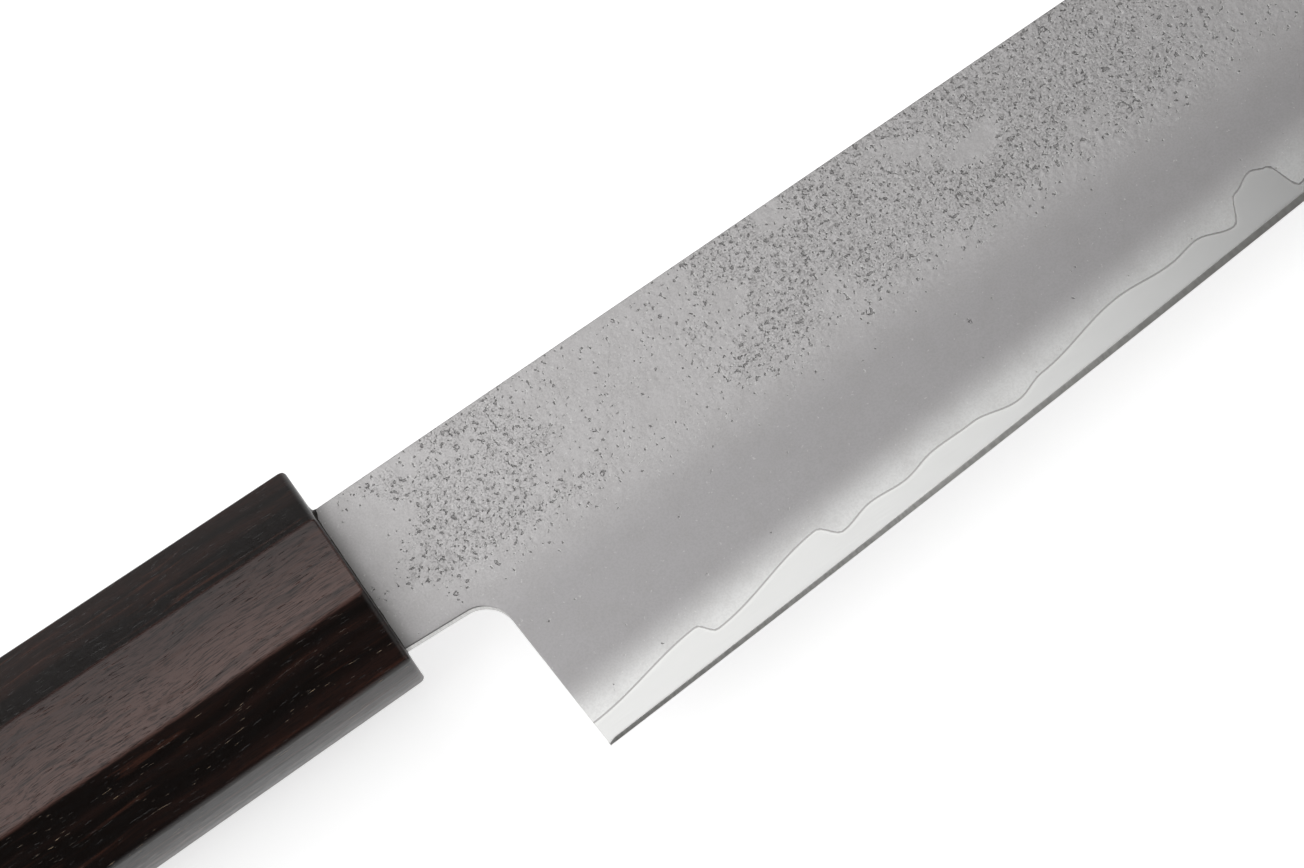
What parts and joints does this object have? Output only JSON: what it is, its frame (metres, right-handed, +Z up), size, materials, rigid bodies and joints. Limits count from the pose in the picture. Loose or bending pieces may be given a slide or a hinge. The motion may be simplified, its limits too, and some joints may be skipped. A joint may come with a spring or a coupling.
{
  "type": "sujihiki knife",
  "caption": "Long narrow slicing knife: laminated blade with a wavy weld line and pitted upper face, hidden tang, plain octagonal dark wood handle.",
  "frame": {"origin": "on the surface that the knife lies on, under the middle of its overall box", "axes": "+X from the butt to the tip, +Y from the cutting edge to the spine, +Z up out of the right-hand face of the blade, which lies flat"},
  "size_m": [0.3892, 0.0418, 0.023],
  "materials": {
    "hard_core_steel": "satin",
    "soft_cladding_steel": "matte",
    "ebony": "satin",
    "epoxy_glue": "gloss",
    "black_epoxy": "gloss"
  },
  "bodies": {
    "root": {"core_steel": "hard_core_steel", "right_cladding": "soft_cladding_steel", "left_cladding": "soft_cladding_steel", "handle": "ebony", "tang_adhesive": "epoxy_glue", "mouth_seal": "black_epoxy"}
  },
  "joints": []
}
